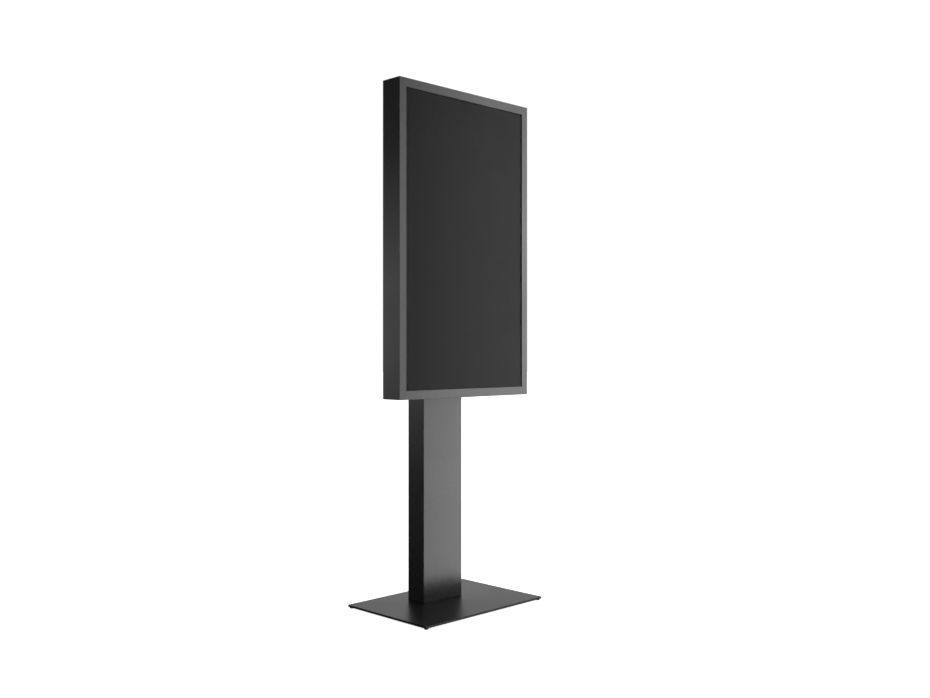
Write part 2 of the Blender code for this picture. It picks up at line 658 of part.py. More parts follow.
def fan(name, x, plastic):
    """An axial fan: a square frame with a motor mount on four struts, and a rotor that turns in it."""
    back, front, side = TRAY_SEAT, TRAY_SEAT - FAN_T, FAN_SIDE / 2
    centre = (x, 0, FAN_Z)
    frame = rounded_box((x - side, front, FAN_Z - side), (x + side, back, FAN_Z + side), 5 * MM, "y")
    frame = cut(frame, rod(outer_radius(ROTOR_R + 2 * MM, 32), front - MM, back + MM, centre, "y", 32))
    bars = []
    for spread in (math.pi / 4, 3 * math.pi / 4):
        bar = box((-46 * MM, back - 3 * MM, -2 * MM), (46 * MM, back, 2 * MM))
        bar.transform(Matrix.Translation(centre) @ Matrix.Rotation(spread, 4, "Y"))
        bars.append(bar)
    mount = rod(ROTOR_HUB_R, back - 4 * MM, back - 0.5 * MM, centre, "y")
    bearing = rod(outer_radius(SHAFT_R + RUNNING, 12), back - 5 * MM, back + MM, centre, "y", 12)
    frame = cut(fuse(frame, *bars, mount), bearing)
    piece(f"fan_frame_{name}", frame, plastic, (x, back, FAN_Z), smooth=True)
    axis = pivot(f"fan_axis_{name}", (x, back - FAN_T / 2, FAN_Z))
    hub_back, hub_front = back - 4.6 * MM, front + 2 * MM
    radius = ROTOR_HUB_R
    hub = turned([(radius, hub_back), (radius, hub_front + 2 * MM), (radius - 2 * MM, hub_front)], centre, "y")
    shaft = rod(SHAFT_R, hub_back - MM, back - MM, centre, "y", 12)
    blades = []
    for i in range(BLADES):
        blade = box((ROTOR_HUB_R - 2 * MM, -0.8 * MM, -11 * MM), (ROTOR_R, 0.8 * MM, 11 * MM))
        blade.transform(Matrix.Rotation(math.radians(52), 4, "X"))
        turn = Matrix.Rotation(2 * math.pi * i / BLADES, 4, "Y")
        blade.transform(Matrix.Translation((x, (hub_back + hub_front) / 2, FAN_Z)) @ turn)
        blades.append(blade)
    piece(f"fan_rotor_{name}", fuse(hub, shaft, *blades), plastic, parent=axis, smooth=True)


def tube(name, points, radius, material):
    """A round cable through bezier points, each with the direction it runs in and its handle length."""
    line = bpy.data.curves.new(name, "CURVE")
    line.dimensions = "3D"
    line.bevel_depth = radius
    line.bevel_resolution = 1
    line.resolution_u = 6
    line.use_fill_caps = True
    spline = line.splines.new("BEZIER")
    spline.bezier_points.add(len(points) - 1)
    start = Vector(points[0][0])
    for point, (at, way, reach) in zip(spline.bezier_points, points):
        at, step = Vector(at) - start, Vector(way).normalized() * reach
        point.co, point.handle_left, point.handle_right = at, at - step, at + step
    line.materials.append(own_copy(material, name))
    made = bpy.data.objects.new(name, line)
    made.location = start
    bpy.context.scene.collection.objects.link(made)


def cables(rubber):
    """The mains lead up the column and into the head, and the picture lead from player to display."""
    inlet_back = COLUMN_BACK - 28 * MM - FIT
    rise_y, drop_y = COLUMN_FRONT + 40 * MM, TRAY_SEAT - 14 * MM
    up, down, out, left = (0, 0, 1), (0, 0, -1), (0, -1, 0), (-1, 0, 0)
    tube("mains_cable", [
        ((INLET_X, inlet_back, INLET_Z), out, 12 * MM),
        ((INLET_X, rise_y, INLET_Z + 60 * MM), up, 30 * MM),
        ((20 * MM, rise_y, HEAD_MID - 70 * MM), up, 90 * MM),
        ((20 * MM, (rise_y + drop_y) / 2, HEAD_MID), out, 30 * MM),
        ((20 * MM, drop_y, HEAD_MID - 60 * MM), down, 25 * MM),
        ((125 * MM, drop_y, PLAYER_Z), down, 80 * MM),
        ((60 * MM, drop_y, STRIP_Z + 22 * MM + FIT), down, 60 * MM),
    ], 3.6 * MM, rubber)
    tube("picture_cable", [
        ((-90 * MM - FIT, drop_y, PLAYER_Z), left, 20 * MM),
        ((-130 * MM, drop_y, PLAYER_Z + 60 * MM), up, 30 * MM),
        ((-110 * MM, CHASSIS_BACK + FIT, PLAYER_Z + 170 * MM), out, 25 * MM),
    ], 3 * MM, rubber)


# ---------------------------------------------------------------- head: door
def door_frame(paint, axis):
    """Front frame folded from one sheet: the bezel and four full-depth sides, open at the back."""
    t = SHEET
    shell = box((-HALF_W, HEAD_FRONT, HEAD_BOTTOM), (HALF_W, HEAD_BACK, HEAD_TOP))
    hollow = box(
        (-HALF_W + t, HEAD_FRONT + t, HEAD_BOTTOM + t), (HALF_W - t, HEAD_BACK + MM, HEAD_TOP - t)
    )
    opening = box(
        (-HALF_W + BEZEL, HEAD_FRONT - MM, HEAD_BOTTOM + BEZEL),
        (HALF_W - BEZEL, HEAD_FRONT + t + MM, HEAD_TOP - BEZEL),
    )
    piece("door_frame", cut(shell, hollow, opening), paint, parent=axis)


def touch_glass(glass, rubber, axis):
    """Touch glass and the flat gasket that it is pressed against."""
    w, h = GLASS_W / 2, GLASS_H / 2
    pane = rounded_box((-w, GLASS_FRONT, HEAD_MID - h), (w, GLASS_BACK, HEAD_MID + h), 4 * MM, "y")
    piece("touch_glass", pane, glass, parent=axis)
    y0, y1 = GASKET_FRONT, GASKET_FRONT + GASKET_T
    inner_w, inner_h = HALF_W - BEZEL + 2 * MM, HEAD_H / 2 - BEZEL + 2 * MM
    ring = box((-w + 2 * MM, y0, HEAD_MID - h + 2 * MM), (w - 2 * MM, y1, HEAD_MID + h - 2 * MM))
    hole = box((-inner_w, y0 - MM, HEAD_MID - inner_h), (inner_w, y1 + MM, HEAD_MID + inner_h))
    piece("glass_gasket", cut(ring, hole), rubber, parent=axis)


def glass_clamps(steel, axis):
    """Four Z-section strips on the back of the bezel that hold the glass against its gasket."""
    t, seat, finger = 1.5 * MM, HEAD_FRONT + SHEET + FIT, GLASS_BACK + FIT
    w, h = GLASS_W / 2, GLASS_H / 2

    def section(edge, wall):
        """Outline from the glass edge out to the frame's side wall."""
        return [
            (edge - 10 * MM, finger), (edge + MM, finger), (edge + MM, seat), (wall, seat),
            (wall, seat + t), (edge + MM + t, seat + t), (edge + MM + t, finger + t),
            (edge - 10 * MM, finger + t),
        ]

    wall_x = HALF_W - SHEET - FIT
    right = prism(section(w, wall_x), "z", HEAD_MID - 515 * MM, HEAD_MID + 515 * MM)
    left = mirror_x(right.copy())
    piece("glass_clamp_right", right, steel, parent=axis)
    piece("glass_clamp_left", left, steel, parent=axis)
    for name, sign in (("top", 1), ("bottom", -1)):
        flat = [(y, HEAD_MID + sign * z) for z, y in section(h, HEAD_H / 2 - SHEET - FIT)]
        strip = prism(flat, "x", -280 * MM, 280 * MM)
        piece(f"glass_clamp_{name}", strip, steel, parent=axis)


def hinges(steel, axis):
    """Two butt hinges: a leaf on the rear panel, a leaf inside the door's side, and a pin."""
    bore = outer_radius(HINGE_PIN_R + RUNNING)
    knuckle, play = HINGE_H / 3, 0.5 * MM
    for name, z in HINGE_Z.items():
        z0, z1 = z - HINGE_H / 2, z + HINGE_H / 2
        at = (HINGE_X, HINGE_Y, 0)
        y0, y1 = HEAD_BACK + FIT, HEAD_BACK + FIT + 2 * MM
        edge = HINGE_X - HINGE_R - FIT
        parts = [box((edge - 34 * MM, y0, z0), (edge, y1, z1))]
        for low, high in ((z0, z0 + knuckle - play), (z1 - knuckle + play, z1)):
            parts.append(box((edge - MM, y0, low), (HINGE_X, y1, high)))
            parts.append(rod(HINGE_R, low, high, at))
        leaf = cut(fuse(*parts), rod(bore, z0 - MM, z1 + MM, at))
        piece(f"hinge_leaf_fixed_{name}", leaf, steel, at=(HINGE_X, HINGE_Y, z), smooth=True)

        x1 = HALF_W - SHEET - FIT
        x0, low, high = x1 - 2 * MM, z0 + knuckle, z1 - knuckle
        parts = [
            box((x0, HEAD_BACK - 37 * MM, z0), (x1, HEAD_BACK - FIT, z1)),
            box((x0, HEAD_BACK - MM, low), (x1, HINGE_Y, high)),
            rod(HINGE_R, low, high, at),
        ]
        leaf = cut(fuse(*parts), rod(bore, z0 - MM, z1 + MM, at))
        piece(f"hinge_leaf_door_{name}", leaf, steel, parent=axis, smooth=True)

        pin = [
            (HINGE_PIN_R, z0 - 2 * MM), (HINGE_PIN_R, z1 + FIT),
            (3.6 * MM, z1 + FIT), (3.2 * MM, z1 + 2.5 * MM),
        ]
        piece(f"hinge_pin_{name}", turned(pin, at), steel, at=(HINGE_X, HINGE_Y, z), smooth=True)


def locks(zinc, steel, axis):
    """Cam locks in the rear panel, and the keepers on the door that their cams turn in front of."""
    barrel_front = TRAY_INNER - 17 * MM
    for name, z in LOCK_Z.items():
        at = (LOCK_X, 0, z)
        seat, face = HEAD_BACK + FIT, HEAD_BACK + 3.5 * MM
        flange = 11.5 * MM
        profile = [
            (LOCK_R, barrel_front), (LOCK_R, seat),
            (flange, seat), (flange, face - MM), (flange - 1.5 * MM, face),
        ]
        barrel = turned(profile, at, "y")
        bore = rod(outer_radius(PLUG_R + RUNNING), barrel_front - MM, face + MM, at, "y")
        piece(f"lock_barrel_{name}", cut(barrel, bore), zinc, (LOCK_X, HEAD_BACK, z), smooth=True)

        lock_axis = pivot(f"lock_axis_{name}", (LOCK_X, HEAD_BACK, z))
        cam_back = barrel_front - FIT
        plug = rod(PLUG_R, cam_back - 5 * MM, face + 0.4 * MM, at, "y")
        cam = box(
            (LOCK_X - 6 * MM, cam_back - 2.5 * MM, z - 6 * MM), (LOCK_X + 6 * MM, cam_back, z + 27 * MM)
        )
        keyway = upright_box((LOCK_X, z), (0.9 * MM, 3.5 * MM), face - 2 * MM, face + MM)
        piece(f"lock_cam_{name}", cut(fuse(plug, cam), keyway), zinc, parent=lock_axis, smooth=True)

        wall, tab_back = -HALF_W + SHEET + FIT, cam_back + 3.5 * MM
        t, front, tab = 2 * MM, tab_back - 38 * MM, wall + 15.5 * MM
        outline = [
            (wall, tab_back), (wall, front), (wall + t, front),
            (wall + t, tab_back - t), (tab, tab_back - t), (tab, tab_back),
        ]
        keeper = prism(outline, "z", z - 20 * MM, z + 20 * MM)
        piece(f"lock_keeper_{name}", keeper, steel, parent=axis)


# ---------------------------------------------------------------- assembly
def build():
    for old in list(bpy.data.objects):
        bpy.data.objects.remove(old)
    paint = make_material("black_powder_coat", (0.022, 0.022, 0.023), 0.42)
    black = make_material("screen_black", (0.008, 0.008, 0.009), 0.25)
    glass = make_material("touch_glass", (0.03, 0.03, 0.032), 0.12, alpha=0.35)
    plastic = make_material("black_plastic", (0.02, 0.02, 0.02), 0.5)
    rubber = make_material("black_rubber", (0.015, 0.015, 0.015), 0.8)
    zinc = make_material("zinc_plate", (0.62, 0.63, 0.65), 0.35, metallic=1.0)
    steel = make_material("bare_steel", (0.45, 0.46, 0.48), 0.4, metallic=1.0)
    alloy = make_material("anodised_aluminium", (0.09, 0.09, 0.095), 0.45, metallic=1.0)

    base_plate(paint)
    column_bolts(steel)
    levelling_feet(rubber, steel)
    column_shell(paint)
    column_foot(steel)
    column_cap(plastic)
    column_cover(paint)
    cover_latches(zinc)
    io_panel(paint)
    mains_inlet(plastic)
    power_rocker(plastic)
    network_socket(plastic)
    column_bracket(paint)
    hook_rails(paint)
    rear_panel(paint)
    display(black, zinc)
    hat_rail("display_rail_left", -200 * MM, zinc)
    hat_rail("display_rail_right", 200 * MM, zinc)
    media_player(alloy, plastic)
    power_strip(plastic)
    touch_controller(plastic)
    fan("left", -FAN_X, plastic)
    fan("right", FAN_X, plastic)
    cables(rubber)
    door_axis = pivot("door_axis", (HINGE_X, HINGE_Y, HEAD_MID))
    door_frame(paint, door_axis)
    touch_glass(glass, rubber, door_axis)
    glass_clamps(zinc, door_axis)
    hinges(steel, door_axis)
    locks(zinc, steel, door_axis)


build()
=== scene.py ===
"""Looks of the touchscreen kiosk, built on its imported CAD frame.

Units are metres, +Z is up and the screen faces -Y. The CAD nodes keep their shapes. This script rounds their
edges, gives each one a procedural material, adds the fine pieces that the frame leaves out, and sets up the
studio.
"""

import json
import math

import bmesh
import bpy
from mathutils import Matrix, Vector

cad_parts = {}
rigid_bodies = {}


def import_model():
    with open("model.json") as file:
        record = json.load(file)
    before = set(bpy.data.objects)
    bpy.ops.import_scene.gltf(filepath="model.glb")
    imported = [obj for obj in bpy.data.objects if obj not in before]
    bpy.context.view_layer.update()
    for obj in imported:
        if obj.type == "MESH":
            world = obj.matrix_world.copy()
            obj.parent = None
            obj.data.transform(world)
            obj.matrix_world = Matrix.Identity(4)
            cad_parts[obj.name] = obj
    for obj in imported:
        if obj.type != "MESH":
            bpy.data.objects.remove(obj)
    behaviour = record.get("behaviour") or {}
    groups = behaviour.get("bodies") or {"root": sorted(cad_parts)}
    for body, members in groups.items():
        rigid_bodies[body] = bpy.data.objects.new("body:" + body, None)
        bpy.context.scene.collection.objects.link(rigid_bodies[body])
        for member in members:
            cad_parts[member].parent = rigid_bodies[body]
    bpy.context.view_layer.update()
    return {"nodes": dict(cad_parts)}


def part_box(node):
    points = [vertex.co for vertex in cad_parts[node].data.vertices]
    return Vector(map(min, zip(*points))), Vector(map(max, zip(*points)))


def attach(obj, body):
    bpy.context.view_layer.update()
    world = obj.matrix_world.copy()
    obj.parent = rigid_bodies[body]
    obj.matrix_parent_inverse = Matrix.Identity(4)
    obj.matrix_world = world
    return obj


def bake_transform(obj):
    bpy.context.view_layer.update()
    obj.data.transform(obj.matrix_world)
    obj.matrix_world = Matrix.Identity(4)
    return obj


MM = 0.001
FEET = ("front_left", "front_right", "rear_left", "rear_right")
LEVELS = ("lower", "upper")

# ---------------------------------------------------------------- studio
EYE = Vector((-2.7075, -2.8087, 0.976))     # camera position
LOOK_AZIMUTH = 45                           # degrees from +X that the camera looks, level with the floor
LENS = 39.4                                 # mm, on a 36 mm wide sensor
RISE = 0.00018                              # lens shift, as a share of the picture's width
FLOOR_SIZE = 60

# Azimuths are in degrees from +X. The camera looks level, so each upright face mirrors one azimuth to it.
FRONT_MIRROR = -LOOK_AZIMUTH
SIDE_MIRROR = 180 - LOOK_AZIMUTH

# Soft boxes round the kiosk: half widths and side fades in degrees, heights as sines of elevation.
SOFT_BOXES = {
    # just right of the front's mirror direction, so the front brightens towards its right edge
    "key": dict(azimuth=FRONT_MIRROR + 3, half=4, side_fade=2, high=0.3, fade=0.15, strength=10),
    "front_wash": dict(azimuth=-105, half=30, strength=2),
    "right_wash": dict(azimuth=0, half=25, strength=0.8),
    # behind the kiosk, only as high as the base plate's grazing mirror direction needs
    "backdrop": dict(azimuth=LOOK_AZIMUTH, half=30, high=0.3, strength=2),
    "rear_wash": dict(azimuth=95, half=15, strength=1),
    # a low strip, so the left sides are light at eye level and dark above and below it
    "side_strip": dict(
        azimuth=SIDE_MIRROR - 5, half=5, side_fade=5, low=-0.05, high=0.12, fade=0.05, strength=2.7,
    ),
    # all the way round, with outer edges past straight up and straight down
    "overhead": dict(azimuth=0, half=180, side_fade=1, low=0.5, high=1.2, strength=0.7),
    "floor_bounce": dict(azimuth=0, half=180, side_fade=1, low=-1.2, high=-0.75, strength=0.8),
}
FILL = 0.02                                 # light from every other direction

# ---------------------------------------------------------------- finishes
BASE_GLOSS = 0.14
GLASS_ROUGHNESS = 0.28
GLASS_ALPHA = 0.85
GLASS_GLOSS = 0.09


# ---------------------------------------------------------------- node helpers
def put(tree, kind, settings=None, **values):
    """Adds a shader node. Inputs are given by name, or as i0, i1 by place; each is a value or a socket."""
    made = tree.nodes.new("ShaderNode" + kind)
    for key, value in (settings or {}).items():
        setattr(made, key, value)
    for key, value in values.items():
        is_index = key[1:].isdigit()
        socket = made.inputs[int(key[1:]) if is_index else key.replace("_", " ")]
        if isinstance(value, bpy.types.NodeSocket):
            tree.links.new(value, socket)
        else:
            socket.default_value = value
    return made


def maths(tree, operation, a, b=0.0, c=0.0):
    return put(tree, "Math", {"operation": operation}, i0=a, i1=b, i2=c).outputs[0]


def dot(tree, first, second):
    made = put(tree, "VectorMath", {"operation": "DOT_PRODUCT"}, i0=first, i1=second)
    return made.outputs["Value"]


def span(tree, value, low, high, out_low=0.0, out_high=1.0, smooth=False):
    """The value's place between low and high, mapped to the output range."""
    style = {"interpolation_type": "SMOOTHSTEP" if smooth else "LINEAR"}
    ends = {"From_Min": low, "From_Max": high, "To_Min": out_low, "To_Max": out_high}
    return put(tree, "MapRange", style, Value=value, **ends).outputs[0]


def blend_colours(tree, share, first, second):
    """Mix of two colours; each is a colour or a socket."""
    made = put(tree, "Mix", {"data_type": "RGBA"}, Factor=share)
    for socket, value in ((made.inputs[6], first), (made.inputs[7], second)):
        if isinstance(value, bpy.types.NodeSocket):
            tree.links.new(value, socket)
        else:
            socket.default_value = (*value, 1.0) if len(value) == 3 else value
    return made.outputs[2]


def noise(tree, place, scale, detail=2.0, roughness=0.5):
    made = put(tree, "TexNoise", Vector=place, Scale=scale, Detail=detail, Roughness=roughness)
    return made.outputs["Fac"]


def new_material(name):
    """An empty node material, and its tree, Principled shader and place in the object."""
    made = bpy.data.materials.new(name)
    made.use_nodes = True
    tree = made.node_tree
    shader = tree.nodes["Principled BSDF"]
    place = put(tree, "TexCoord").outputs["Object"]
    return made, tree, shader, place


def link(tree, source, shader, name):
    tree.links.new(source, shader.inputs[name])


def bump(tree, height, distance, strength=1.0, normal=None):
    values = {"Height": height, "Distance": distance, "Strength": strength}
    if normal is not None:
        values["Normal"] = normal
    return put(tree, "Bump", **values).outputs[0]


# ---------------------------------------------------------------- materials
def powder_coat(name, colour=0.003, roughness=0.26, gloss=0.5):
    """Satin powder coat: orange-peel ripple, cloudy sheen, dust on level faces and edges rubbed thin."""
    made, tree, shader, place = new_material(name)
    cloud = noise(tree, place, 3.0, 3.0)
    grain = noise(tree, place, 900.0, 2.0)
    peel = noise(tree, place, 260.0, 1.0)
    dark = (colour, colour, colour * 1.02)
    light = (colour * 1.3, colour * 1.3, colour * 1.32)
    shader.inputs["Specular IOR Level"].default_value = gloss
    base = blend_colours(tree, span(tree, cloud, 0.35, 0.65), dark, light)
    facet = put(tree, "NewGeometry").outputs["Normal"]
    softened = put(tree, "Bevel", {"samples": 4}, Radius=0.8 * MM).outputs[0]
    turn = dot(tree, facet, softened)
    edge = maths(tree, "MULTIPLY", span(tree, turn, 0.995, 0.93), span(tree, grain, 0.35, 0.6))
    base = blend_colours(tree, maths(tree, "MULTIPLY", edge, 0.4), base, (0.03, 0.03, 0.03))
    up = put(tree, "SeparateXYZ", Vector=facet).outputs["Z"]
    specks = span(tree, noise(tree, place, 60.0, 6.0, 0.7), 0.5, 0.8)
    dust = maths(tree, "MULTIPLY", span(tree, up, 0.7, 1.0), specks)
    base = blend_colours(tree, maths(tree, "MULTIPLY", dust, 0.025), base, (0.3, 0.29, 0.27))
    link(tree, base, shader, "Base Color")
    rough = span(tree, cloud, 0.3, 0.7, roughness - 0.02, roughness + 0.02)
    rough = maths(tree, "ADD", rough, maths(tree, "MULTIPLY", grain, 0.04))
    link(tree, rough, shader, "Roughness")
    link(tree, bump(tree, peel, 0.02 * MM, 1.0, bump(tree, grain, 0.006 * MM)), shader, "Normal")
    return made


def moulded_plastic(name, colour=0.02, roughness=0.5, grain=1400.0):
    """Injection-moulded plastic with a fine spark-eroded grain."""
    made, tree, shader, place = new_material(name)
    cloud = noise(tree, place, 40.0, 2.0)
    speck = put(tree, "TexVoronoi", Vector=place, Scale=grain).outputs["Distance"]
    base = blend_colours(tree, cloud, [colour] * 3, [colour * 1.4] * 3)
    link(tree, base, shader, "Base Color")
    link(tree, span(tree, cloud, 0.3, 0.7, roughness - 0.04, roughness + 0.05), shader, "Roughness")
    link(tree, bump(tree, speck, 0.02 * MM), shader, "Normal")
    return made


def soft_rubber(name, colour=0.018):
    """Rubber with a dry, slightly greyed skin."""
    made, tree, shader, place = new_material(name)
    bloom = noise(tree, place, 120.0, 5.0, 0.65)
    base = blend_colours(tree, span(tree, bloom, 0.45, 0.8), [colour] * 3, (0.05, 0.049, 0.047))
    link(tree, base, shader, "Base Color")
    link(tree, span(tree, bloom, 0.3, 0.7, 0.68, 0.85), shader, "Roughness")
    link(tree, bump(tree, noise(tree, place, 1500.0), 0.02 * MM), shader, "Normal")
    return made


def cable_sheath(name, colour=(0.02, 0.02, 0.02)):
    """Smooth extruded sheath."""
    made, tree, shader, place = new_material(name)
    mottle = noise(tree, place, 200.0, 3.0)
    lighter = tuple(c * 1.3 for c in colour)
    link(tree, blend_colours(tree, mottle, colour, lighter), shader, "Base Color")
    link(tree, span(tree, mottle, 0.3, 0.7, 0.38, 0.5), shader, "Roughness")
    link(tree, bump(tree, noise(tree, place, 700.0), 0.02 * MM), shader, "Normal")
    return made


def zinc_plate(name):
    """Hot-dip zinc with its spangle of dull crystals."""
    made, tree, shader, place = new_material(name)
    crystal = put(tree, "TexVoronoi", Vector=place, Scale=120.0, Randomness=1.0).outputs["Color"]
    tone = put(tree, "SeparateColor", Color=crystal).outputs[0]
    base = blend_colours(tree, tone, (0.24, 0.245, 0.26), (0.36, 0.365, 0.38))
    link(tree, base, shader, "Base Color")
    link(tree, span(tree, tone, 0.0, 1.0, 0.32, 0.52), shader, "Roughness")
    link(tree, bump(tree, noise(tree, place, 500.0), 0.01 * MM), shader, "Normal")
    shader.inputs["Metallic"].default_value = 1.0
    return made


def drawn_steel(name, axis="Z", colour=(0.26, 0.26, 0.27)):
    """Plain steel with fine draw lines along one axis."""
    made, tree, shader, place = new_material(name)
    stretch = {"X": (40, 900, 900), "Y": (900, 40, 900), "Z": (900, 900, 40)}[axis]
    drawn = put(tree, "Mapping", Vector=place, Scale=stretch).outputs[0]
    lines = noise(tree, drawn, 1.0, 3.0)
    tarnish = noise(tree, place, 25.0, 4.0)
    darker = tuple(c * 0.7 for c in colour)
    base = blend_colours(tree, span(tree, tarnish, 0.4, 0.75), colour, darker)
    link(tree, base, shader, "Base Color")
    link(tree, span(tree, lines, 0.3, 0.7, 0.28, 0.42), shader, "Roughness")
    link(tree, bump(tree, lines, 0.01 * MM), shader, "Normal")
    shader.inputs["Metallic"].default_value = 1.0
    return made


def die_cast(name):
    """Satin nickel on die-cast zinc alloy, lightly fingered."""
    made, tree, shader, place = new_material(name)
    touch = noise(tree, place, 180.0, 4.0)
    base = blend_colours(tree, touch, (0.26, 0.26, 0.265), (0.34, 0.34, 0.35))
    link(tree, base, shader, "Base Color")
    link(tree, span(tree, touch, 0.35, 0.7, 0.26, 0.4), shader, "Roughness")
    link(tree, bump(tree, noise(tree, place, 1200.0), 0.006 * MM), shader, "Normal")
    shader.inputs["Metallic"].default_value = 1.0
    return made


def black_screw(name):
    """Black-oxide steel, bright where the key has rubbed it."""
    made, tree, shader, place = new_material(name)
    rub = noise(tree, place, 900.0, 4.0, 0.6)
    base = blend_colours(tree, span(tree, rub, 0.5, 0.8), (0.025, 0.025, 0.026), (0.12, 0.12, 0.125))
    link(tree, base, shader, "Base Color")
    link(tree, span(tree, rub, 0.3, 0.8, 0.45, 0.3), shader, "Roughness")
    link(tree, bump(tree, rub, 0.02 * MM), shader, "Normal")
    shader.inputs["Metallic"].default_value = 0.8
    return made


def anodised(name):
    """Bead-blasted, black anodised aluminium."""
    made, tree, shader, place = new_material(name)
    blast = noise(tree, place, 1600.0, 2.0)
    tone = noise(tree, place, 12.0, 2.0)
    base = blend_colours(tree, tone, (0.07, 0.07, 0.075), (0.1, 0.1, 0.105))
    link(tree, base, shader, "Base Color")
    link(tree, span(tree, blast, 0.3, 0.7, 0.38, 0.5), shader, "Roughness")
    link(tree, bump(tree, blast, 0.015 * MM), shader, "Normal")
    shader.inputs["Metallic"].default_value = 1.0
    return made


def touch_glass(name):
    """Etched anti-glare glass with a dark tint and faint wipe marks."""
    made, tree, shader, place = new_material(name)
    wiped = put(tree, "Mapping", Vector=place, Scale=(9.0, 9.0, 2.5)).outputs[0]
    marks = noise(tree, wiped, 1.0, 5.0, 0.6)
    etch = noise(tree, place, 2500.0, 1.0)
    base = blend_colours(tree, marks, (0.003, 0.003, 0.0032), (0.004, 0.004, 0.0043))
    link(tree, base, shader, "Base Color")
    rough = span(tree, marks, 0.3, 0.7, GLASS_ROUGHNESS - 0.012, GLASS_ROUGHNESS + 0.012)
    link(tree, rough, shader, "Roughness")
    link(tree, bump(tree, etch, 0.002 * MM), shader, "Normal")
    shader.inputs["Alpha"].default_value = GLASS_ALPHA
    shader.inputs["Specular IOR Level"].default_value = GLASS_GLOSS
    return made


def screen_face(name, half_width, z_low, z_high):
    """Dark polariser over the picture area, and the module's blackened steel rim round it."""
    made, tree, shader, place = new_material(name)
    parts = put(tree, "SeparateXYZ", Vector=place)
    aside = maths(tree, "ABSOLUTE", parts.outputs["X"])
    across = span(tree, aside, half_width, half_width + 0.1 * MM, 1.0, 0.0)
    above = span(tree, parts.outputs["Z"], z_low, z_low + 0.1 * MM)
    below = span(tree, parts.outputs["Z"], z_high, z_high + 0.1 * MM, 1.0, 0.0)
    picture = maths(tree, "MULTIPLY", across, maths(tree, "MULTIPLY", above, below))
    columns = put(tree, "TexWave", {"bands_direction": "X"}, Vector=place, Scale=900.0).outputs["Fac"]
    rows = put(tree, "TexWave", {"bands_direction": "Z"}, Vector=place, Scale=900.0).outputs["Fac"]
    cells = maths(tree, "MULTIPLY", columns, rows)
    polariser = blend_colours(tree, cells, (0.004, 0.004, 0.005), (0.008, 0.008, 0.009))
    tarnish = noise(tree, place, 30.0, 4.0)
    rim = blend_colours(tree, tarnish, (0.03, 0.03, 0.032), (0.06, 0.06, 0.062))
    link(tree, blend_colours(tree, picture, rim, polariser), shader, "Base Color")
    rough = span(tree, picture, 0.0, 1.0, 0.45, 0.3)
    rough = maths(tree, "ADD", rough, span(tree, tarnish, 0.3, 0.7, -0.02, 0.02))
    link(tree, rough, shader, "Roughness")
    link(tree, bump(tree, cells, 0.002 * MM), shader, "Normal")
    shader.inputs["Specular IOR Level"].default_value = GLASS_GLOSS
    return made


def gold_plate(name):
    """Thin gold flash over nickel."""
    made, tree, shader, place = new_material(name)
    wear = noise(tree, place, 900.0, 3.0)
    link(tree, blend_colours(tree, wear, (0.8, 0.55, 0.2), (0.9, 0.68, 0.32)), shader, "Base Color")
    link(tree, span(tree, wear, 0.3, 0.7, 0.18, 0.32), shader, "Roughness")
    link(tree, bump(tree, wear, 0.01 * MM), shader, "Normal")
    shader.inputs["Metallic"].default_value = 1.0
    return made


def wire_green(name):
    """Green and yellow earth wire."""
    made, tree, shader, place = new_material(name)
    parts = put(tree, "SeparateXYZ", Vector=place)
    stripe = span(tree, maths(tree, "SINE", maths(tree, "MULTIPLY", parts.outputs["Y"], 900.0)), 0.1, 0.3)
    base = blend_colours(tree, stripe, (0.02, 0.2, 0.04), (0.6, 0.5, 0.03))
    grime = noise(tree, place, 300.0, 3.0)
    soiled = blend_colours(tree, span(tree, grime, 0.5, 0.9), base, (0.03, 0.03, 0.02))
    link(tree, soiled, shader, "Base Color")
    link(tree, span(tree, grime, 0.3, 0.7, 0.35, 0.5), shader, "Roughness")
    link(tree, bump(tree, noise(tree, place, 700.0), 0.02 * MM), shader, "Normal")
    return made


def filter_foam(name):
    """Open-cell dust filter, with painted shade darkening its pores."""
    made, tree, shader, place = new_material(name)
    cells = put(tree, "TexVoronoi", Vector=place, Scale=700.0).outputs["Distance"]
    # painted shade: the pore centres, which the bump sinks, are coloured darker than the struts round them
    base = blend_colours(tree, span(tree, cells, 0.1, 0.6), (0.004, 0.004, 0.004), (0.03, 0.03, 0.03))
    link(tree, base, shader, "Base Color")
    link(tree, span(tree, cells, 0.1, 0.6, 0.95, 0.8), shader, "Roughness")
    link(tree, bump(tree, cells, 0.6 * MM), shader, "Normal")
    return made


# ---------------------------------------------------------------- shape helpers
def box_of(name):
    low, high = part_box(name)
    return low, high, (low + high) / 2


def add_piece(name, bm, material, body, smooth=True):
    """A new piece that rides on a CAD body. Its mesh is already in the row frame."""
    bmesh.ops.recalc_face_normals(bm, faces=bm.faces)
    mesh = bpy.data.meshes.new(name)
    bm.to_mesh(mesh)
    bm.free()
    mesh.materials.append(material)
    if smooth:
        mesh.shade_smooth()
        mesh.set_sharp_from_angle(angle=math.radians(35))
    made = bpy.data.objects.new(name, mesh)
    bpy.context.scene.collection.objects.link(made)
    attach(made, body)
    return made


def round_edges(name, width, segments=2):
    """Rounds a CAD node's sharp edges, once its corners are joined and its flat faces made whole."""
    node = frame["nodes"][name]
    weld = node.modifiers.new("join_corners", "WELD")
    weld.merge_threshold = 0.01 * MM
    flat = node.modifiers.new("whole_faces", "DECIMATE")
    flat.decimate_type = "DISSOLVE"
    flat.angle_limit = math.radians(1)
    bevel = node.modifiers.new("edges", "BEVEL")
    bevel.width = width
    bevel.segments = segments
    bevel.limit_method = "ANGLE"
    bevel.angle_limit = math.radians(35)
    bevel.use_clamp_overlap = True
    flat_normals = node.modifiers.new("flat_normals", "WEIGHTED_NORMAL")
    flat_normals.weight = 80
    node.data.shade_smooth()


def paint(material, *names):
    for name in names:
        slots = frame["nodes"][name].data.materials
        slots.clear()
        slots.append(material)


